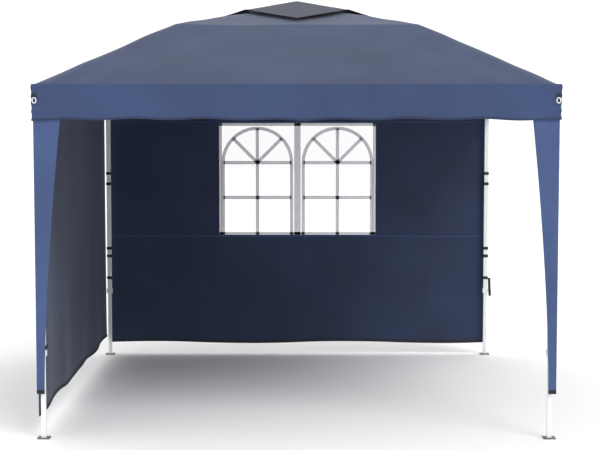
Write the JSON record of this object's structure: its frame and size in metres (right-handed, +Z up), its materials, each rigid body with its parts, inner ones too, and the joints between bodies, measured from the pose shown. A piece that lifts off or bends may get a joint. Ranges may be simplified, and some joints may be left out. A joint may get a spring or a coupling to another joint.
{
  "type": "pop up gazebo",
  "caption": "Square pop up gazebo on telescoping legs with a scissor folding frame, navy fabric roof with vent cap, back wall with window and one side wall.",
  "frame": {"origin": "on the ground at the middle of the square plan", "axes": "+Z up, +Y towards the back wall, -X towards the plain side wall"},
  "size_m": [3, 3, 2.62],
  "materials": {
    "leg_paint": "white powder-coated steel, semi-gloss",
    "truss_metal": "white powder-coated steel bar",
    "joint_plastic": "black moulded nylon",
    "button_metal": "zinc-plated steel button",
    "canopy_fabric": "navy coated polyester, plain weave",
    "cap_fabric": "dark navy coated polyester with bound edge",
    "wall_fabric": "navy coated polyester wall",
    "cover_fabric": "navy coated polyester leg cover",
    "window_film": "clear flexible window film with pale printed bars"
  },
  "bodies": {
    "leg_fl": {"leg_outer_fl": "leg_paint", "corner_bracket_fl": "joint_plastic", "canopy": "canopy_fabric", "vent_cap": "cap_fabric", "back_wall": "wall_fabric", "window": "window_film", "side_wall_left": "wall_fabric", "leg_cover_front_left": "cover_fabric", "leg_cover_front_right": "cover_fabric"},
    "leg_fr": {"leg_outer_fr": "leg_paint", "corner_bracket_fr": "joint_plastic"},
    "leg_br": {"leg_outer_br": "leg_paint", "corner_bracket_br": "joint_plastic"},
    "leg_bl": {"leg_outer_bl": "leg_paint", "corner_bracket_bl": "joint_plastic"},
    "truss_front_upper_1": {"truss_front_upper_1": "truss_metal"},
    "truss_front_lower_1": {"truss_front_lower_1": "truss_metal"},
    "truss_front_upper_2": {"truss_front_upper_2": "truss_metal"},
    "truss_front_lower_2": {"truss_front_lower_2": "truss_metal"},
    "truss_right_upper_1": {"truss_right_upper_1": "truss_metal"},
    "truss_right_lower_1": {"truss_right_lower_1": "truss_metal"},
    "truss_right_upper_2": {"truss_right_upper_2": "truss_metal"},
    "truss_right_lower_2": {"truss_right_lower_2": "truss_metal"},
    "truss_left_upper_1": {"truss_left_upper_1": "truss_metal"},
    "truss_left_lower_1": {"truss_left_lower_1": "truss_metal"},
    "truss_left_upper_2": {"truss_left_upper_2": "truss_metal"},
    "truss_left_lower_2": {"truss_left_lower_2": "truss_metal"},
    "truss_back_upper_1": {"truss_back_upper_1": "truss_metal"},
    "truss_back_lower_1": {"truss_back_lower_1": "truss_metal"},
    "truss_back_upper_2": {"truss_back_upper_2": "truss_metal"},
    "truss_back_lower_2": {"truss_back_lower_2": "truss_metal"},
    "lower_rafter_fl": {"lower_rafter_fl": "truss_metal"},
    "upper_rafter_fl": {"upper_rafter_fl": "truss_metal"},
    "roof_strut_fl": {"roof_strut_fl": "truss_metal"},
    "slider_fl": {"slider_fl": "joint_plastic"},
    "inner_fl": {"leg_inner_fl": "leg_paint"},
    "slider_button_fl": {"slider_button_fl": "button_metal"},
    "height_button_fl": {"height_button_fl": "button_metal"},
    "lower_rafter_fr": {"lower_rafter_fr": "truss_metal"},
    "upper_rafter_fr": {"upper_rafter_fr": "truss_metal"},
    "roof_strut_fr": {"roof_strut_fr": "truss_metal"},
    "slider_fr": {"slider_fr": "joint_plastic"},
    "inner_fr": {"leg_inner_fr": "leg_paint"},
    "slider_button_fr": {"slider_button_fr": "button_metal"},
    "height_button_fr": {"height_button_fr": "button_metal"},
    "lower_rafter_br": {"lower_rafter_br": "truss_metal"},
    "upper_rafter_br": {"upper_rafter_br": "truss_metal"},
    "roof_strut_br": {"roof_strut_br": "truss_metal"},
    "slider_br": {"slider_br": "joint_plastic"},
    "inner_br": {"leg_inner_br": "leg_paint"},
    "slider_button_br": {"slider_button_br": "button_metal"},
    "height_button_br": {"height_button_br": "button_metal"},
    "lower_rafter_bl": {"lower_rafter_bl": "truss_metal"},
    "upper_rafter_bl": {"upper_rafter_bl": "truss_metal"},
    "roof_strut_bl": {"roof_strut_bl": "truss_metal"},
    "slider_bl": {"slider_bl": "joint_plastic"},
    "inner_bl": {"leg_inner_bl": "leg_paint"},
    "slider_button_bl": {"slider_button_bl": "button_metal"},
    "height_button_bl": {"height_button_bl": "button_metal"},
    "roof_hub": {"roof_hub": "joint_plastic"}
  },
  "joints": [
    {"name": "frame_fold", "type": "hinge", "parent": "leg_fl", "child": "truss_front_upper_1", "pos_m": [-1.425, -1.46, 2.01], "axis": [0, 1, 0], "range_deg": [0, 79.75], "deforming": ["canopy", "vent_cap", "back_wall", "window", "side_wall_left", "leg_cover_front_left", "leg_cover_front_right"]},
    {"name": "front_cross_1", "type": "hinge", "parent": "truss_front_upper_1", "child": "truss_front_lower_1", "pos_m": [-0.7125, -1.46, 1.93], "axis": [0, 1, 0], "range_deg": [-159.5, 0]},
    {"name": "front_middle_low", "type": "hinge", "parent": "truss_front_upper_1", "child": "truss_front_upper_2", "pos_m": [0, -1.46, 1.85], "axis": [0, 1, 0], "range_deg": [-159.5, 0]},
    {"name": "front_cross_2", "type": "hinge", "parent": "truss_front_upper_2", "child": "truss_front_lower_2", "pos_m": [0.7125, -1.46, 1.93], "axis": [0, 1, 0], "range_deg": [0, 159.5]},
    {"name": "front_end_pivot", "type": "hinge", "parent": "truss_front_upper_2", "child": "leg_fr", "pos_m": [1.425, -1.46, 2.01], "axis": [0, 1, 0], "range_deg": [0, 79.75]},
    {"name": "slider_pivot_fl", "type": "hinge", "parent": "truss_front_lower_1", "child": "slider_fl", "pos_m": [-1.425, -1.46, 1.85], "axis": [0, 1, 0], "range_deg": [0, 79.75]},
    {"name": "slider_pivot_fr", "type": "hinge", "parent": "truss_front_lower_2", "child": "slider_fr", "pos_m": [1.425, -1.46, 1.85], "axis": [0, 1, 0], "range_deg": [-79.75, 0]},
    {"name": "right_corner_pivot", "type": "hinge", "parent": "leg_fr", "child": "truss_right_upper_1", "pos_m": [1.46, -1.425, 2.01], "axis": [-1, 0, 0], "range_deg": [0, 79.75]},
    {"name": "right_cross_1", "type": "hinge", "parent": "truss_right_upper_1", "child": "truss_right_lower_1", "pos_m": [1.46, -0.7125, 1.93], "axis": [-1, 0, 0], "range_deg": [-159.5, 0]},
    {"name": "right_middle_low", "type": "hinge", "parent": "truss_right_upper_1", "child": "truss_right_upper_2", "pos_m": [1.46, 0, 1.85], "axis": [-1, 0, 0], "range_deg": [-159.5, 0]},
    {"name": "right_cross_2", "type": "hinge", "parent": "truss_right_upper_2", "child": "truss_right_lower_2", "pos_m": [1.46, 0.7125, 1.93], "axis": [-1, 0, 0], "range_deg": [0, 159.5]},
    {"name": "right_end_pivot", "type": "hinge", "parent": "truss_right_upper_2", "child": "leg_br", "pos_m": [1.46, 1.425, 2.01], "axis": [-1, 0, 0], "range_deg": [0, 79.75]},
    {"name": "slider_pivot_br", "type": "hinge", "parent": "truss_right_lower_2", "child": "slider_br", "pos_m": [1.46, 1.425, 1.85], "axis": [-1, 0, 0], "range_deg": [-79.75, 0]},
    {"name": "left_corner_pivot", "type": "hinge", "parent": "leg_fl", "child": "truss_left_upper_1", "pos_m": [-1.46, -1.425, 2.01], "axis": [-1, 0, 0], "range_deg": [0, 79.75]},
    {"name": "left_cross_1", "type": "hinge", "parent": "truss_left_upper_1", "child": "truss_left_lower_1", "pos_m": [-1.46, -0.7125, 1.93], "axis": [-1, 0, 0], "range_deg": [-159.5, 0]},
    {"name": "left_middle_low", "type": "hinge", "parent": "truss_left_upper_1", "child": "truss_left_upper_2", "pos_m": [-1.46, 0, 1.85], "axis": [-1, 0, 0], "range_deg": [-159.5, 0]},
    {"name": "left_cross_2", "type": "hinge", "parent": "truss_left_upper_2", "child": "truss_left_lower_2", "pos_m": [-1.46, 0.7125, 1.93], "axis": [-1, 0, 0], "range_deg": [0, 159.5]},
    {"name": "left_end_pivot", "type": "hinge", "parent": "truss_left_upper_2", "child": "leg_bl", "pos_m": [-1.46, 1.425, 2.01], "axis": [-1, 0, 0], "range_deg": [0, 79.75]},
    {"name": "slider_pivot_bl", "type": "hinge", "parent": "truss_left_lower_2", "child": "slider_bl", "pos_m": [-1.46, 1.425, 1.85], "axis": [-1, 0, 0], "range_deg": [-79.75, 0]},
    {"name": "back_corner_pivot", "type": "hinge", "parent": "leg_bl", "child": "truss_back_upper_1", "pos_m": [-1.425, 1.46, 2.01], "axis": [0, 1, 0], "range_deg": [0, 79.75]},
    {"name": "back_cross_1", "type": "hinge", "parent": "truss_back_upper_1", "child": "truss_back_lower_1", "pos_m": [-0.7125, 1.46, 1.93], "axis": [0, 1, 0], "range_deg": [-159.5, 0]},
    {"name": "back_middle_low", "type": "hinge", "parent": "truss_back_upper_1", "child": "truss_back_upper_2", "pos_m": [0, 1.46, 1.85], "axis": [0, 1, 0], "range_deg": [-159.5, 0]},
    {"name": "back_cross_2", "type": "hinge", "parent": "truss_back_upper_2", "child": "truss_back_lower_2", "pos_m": [0.7125, 1.46, 1.93], "axis": [0, 1, 0], "range_deg": [0, 159.5]},
    {"name": "rafter_pivot_fl", "type": "hinge", "parent": "leg_fl", "child": "lower_rafter_fl", "pos_m": [-1.41757, -1.41757, 2], "axis": [0.7071, -0.7071, 0], "range_deg": [-108.75, 0]},
    {"name": "rafter_knuckle_fl", "type": "hinge", "parent": "lower_rafter_fl", "child": "upper_rafter_fl", "pos_m": [-0.72832, -0.72832, 2.4], "axis": [0.7071, -0.7071, 0], "range_deg": [0, 187.97]},
    {"name": "hub_pivot_fl", "type": "hinge", "parent": "upper_rafter_fl", "child": "roof_hub", "pos_m": [-0.02475, -0.02475, 2.564], "axis": [0.7071, -0.7071, 0], "range_deg": [-79.22, 0]},
    {"name": "strut_pivot_fl", "type": "hinge", "parent": "slider_fl", "child": "roof_strut_fl", "pos_m": [-1.41757, -1.41757, 1.85], "axis": [0.7071, -0.7071, 0], "range_deg": [0, 53.8]},
    {"name": "leg_length_fl", "type": "slide", "parent": "leg_fl", "child": "inner_fl", "axis": [0, 0, 1], "range_m": [0, 0.45]},
    {"name": "slider_button_fl_press", "type": "slide", "parent": "slider_fl", "child": "slider_button_fl", "axis": [0, 1, 0], "range_m": [0, 0.003], "stiffness_N_per_m": 1500},
    {"name": "height_button_fl_press", "type": "slide", "parent": "leg_fl", "child": "height_button_fl", "axis": [0, 1, 0], "range_m": [0, 0.003], "stiffness_N_per_m": 1500},
    {"name": "rafter_pivot_fr", "type": "hinge", "parent": "leg_fr", "child": "lower_rafter_fr", "pos_m": [1.41757, -1.41757, 2], "axis": [0.7071, 0.7071, 0], "range_deg": [-108.75, 0]},
    {"name": "hub_pivot_fr", "type": "hinge", "parent": "roof_hub", "child": "upper_rafter_fr", "pos_m": [0.02475, -0.02475, 2.564], "axis": [0.7071, 0.7071, 0], "range_deg": [0, 79.22]},
    {"name": "strut_pivot_fr", "type": "hinge", "parent": "slider_fr", "child": "roof_strut_fr", "pos_m": [1.41757, -1.41757, 1.85], "axis": [0.7071, 0.7071, 0], "range_deg": [0, 53.8]},
    {"name": "leg_length_fr", "type": "slide", "parent": "leg_fr", "child": "inner_fr", "axis": [0, 0, 1], "range_m": [0, 0.45]},
    {"name": "slider_button_fr_press", "type": "slide", "parent": "slider_fr", "child": "slider_button_fr", "axis": [0, 1, 0], "range_m": [0, 0.003], "stiffness_N_per_m": 1500},
    {"name": "height_button_fr_press", "type": "slide", "parent": "leg_fr", "child": "height_button_fr", "axis": [0, 1, 0], "range_m": [0, 0.003], "stiffness_N_per_m": 1500},
    {"name": "rafter_pivot_br", "type": "hinge", "parent": "leg_br", "child": "lower_rafter_br", "pos_m": [1.41757, 1.41757, 2], "axis": [-0.7071, 0.7071, 0], "range_deg": [-108.75, 0]},
    {"name": "hub_pivot_br", "type": "hinge", "parent": "roof_hub", "child": "upper_rafter_br", "pos_m": [0.02475, 0.02475, 2.564], "axis": [-0.7071, 0.7071, 0], "range_deg": [0, 79.22]},
    {"name": "strut_pivot_br", "type": "hinge", "parent": "slider_br", "child": "roof_strut_br", "pos_m": [1.41757, 1.41757, 1.85], "axis": [-0.7071, 0.7071, 0], "range_deg": [0, 53.8]},
    {"name": "leg_length_br", "type": "slide", "parent": "leg_br", "child": "inner_br", "axis": [0, 0, 1], "range_m": [0, 0.45]},
    {"name": "slider_button_br_press", "type": "slide", "parent": "slider_br", "child": "slider_button_br", "axis": [0, -1, 0], "range_m": [0, 0.003], "stiffness_N_per_m": 1500},
    {"name": "height_button_br_press", "type": "slide", "parent": "leg_br", "child": "height_button_br", "axis": [0, -1, 0], "range_m": [0, 0.003], "stiffness_N_per_m": 1500},
    {"name": "rafter_pivot_bl", "type": "hinge", "parent": "leg_bl", "child": "lower_rafter_bl", "pos_m": [-1.41757, 1.41757, 2], "axis": [-0.7071, -0.7071, 0], "range_deg": [-108.75, 0]},
    {"name": "hub_pivot_bl", "type": "hinge", "parent": "roof_hub", "child": "upper_rafter_bl", "pos_m": [-0.02475, 0.02475, 2.564], "axis": [-0.7071, -0.7071, 0], "range_deg": [0, 79.22]},
    {"name": "strut_pivot_bl", "type": "hinge", "parent": "slider_bl", "child": "roof_strut_bl", "pos_m": [-1.41757, 1.41757, 1.85], "axis": [-0.7071, -0.7071, 0], "range_deg": [0, 53.8]},
    {"name": "leg_length_bl", "type": "slide", "parent": "leg_bl", "child": "inner_bl", "axis": [0, 0, 1], "range_m": [0, 0.45]},
    {"name": "slider_button_bl_press", "type": "slide", "parent": "slider_bl", "child": "slider_button_bl", "axis": [0, -1, 0], "range_m": [0, 0.003], "stiffness_N_per_m": 1500},
    {"name": "height_button_bl_press", "type": "slide", "parent": "leg_bl", "child": "height_button_bl", "axis": [0, -1, 0], "range_m": [0, 0.003], "stiffness_N_per_m": 1500}
  ],
  "couplings": [
    {"joint": "front_cross_1", "follows": "frame_fold", "ratio": -2},
    {"joint": "front_middle_low", "follows": "frame_fold", "ratio": -2},
    {"joint": "front_cross_2", "follows": "frame_fold", "ratio": 2},
    {"joint": "front_end_pivot", "follows": "frame_fold", "ratio": 1},
    {"joint": "slider_pivot_fl", "follows": "frame_fold", "ratio": 1},
    {"joint": "slider_pivot_fr", "follows": "frame_fold", "ratio": -1},
    {"joint": "right_corner_pivot", "follows": "frame_fold", "ratio": 1},
    {"joint": "right_cross_1", "follows": "frame_fold", "ratio": -2},
    {"joint": "right_middle_low", "follows": "frame_fold", "ratio": -2},
    {"joint": "right_cross_2", "follows": "frame_fold", "ratio": 2},
    {"joint": "right_end_pivot", "follows": "frame_fold", "ratio": 1},
    {"joint": "slider_pivot_br", "follows": "frame_fold", "ratio": -1},
    {"joint": "left_corner_pivot", "follows": "frame_fold", "ratio": 1},
    {"joint": "left_cross_1", "follows": "frame_fold", "ratio": -2},
    {"joint": "left_middle_low", "follows": "frame_fold", "ratio": -2},
    {"joint": "left_cross_2", "follows": "frame_fold", "ratio": 2},
    {"joint": "left_end_pivot", "follows": "frame_fold", "ratio": 1},
    {"joint": "slider_pivot_bl", "follows": "frame_fold", "ratio": -1},
    {"joint": "back_corner_pivot", "follows": "frame_fold", "ratio": 1},
    {"joint": "back_cross_1", "follows": "frame_fold", "ratio": -2},
    {"joint": "back_middle_low", "follows": "frame_fold", "ratio": -2},
    {"joint": "back_cross_2", "follows": "frame_fold", "ratio": 2},
    {"joint": "rafter_pivot_fl", "follows": "frame_fold", "ratio": -1.3637},
    {"joint": "rafter_knuckle_fl", "follows": "frame_fold", "ratio": 2.357},
    {"joint": "hub_pivot_fl", "follows": "frame_fold", "ratio": -0.99329},
    {"joint": "strut_pivot_fl", "follows": "frame_fold", "ratio": 0.67457},
    {"joint": "rafter_pivot_fr", "follows": "frame_fold", "ratio": -1.3637},
    {"joint": "hub_pivot_fr", "follows": "frame_fold", "ratio": 0.99329},
    {"joint": "strut_pivot_fr", "follows": "frame_fold", "ratio": 0.67457},
    {"joint": "rafter_pivot_br", "follows": "frame_fold", "ratio": -1.3637},
    {"joint": "hub_pivot_br", "follows": "frame_fold", "ratio": 0.99329},
    {"joint": "strut_pivot_br", "follows": "frame_fold", "ratio": 0.67457},
    {"joint": "rafter_pivot_bl", "follows": "frame_fold", "ratio": -1.3637},
    {"joint": "hub_pivot_bl", "follows": "frame_fold", "ratio": 0.99329},
    {"joint": "strut_pivot_bl", "follows": "frame_fold", "ratio": 0.67457}
  ]
}
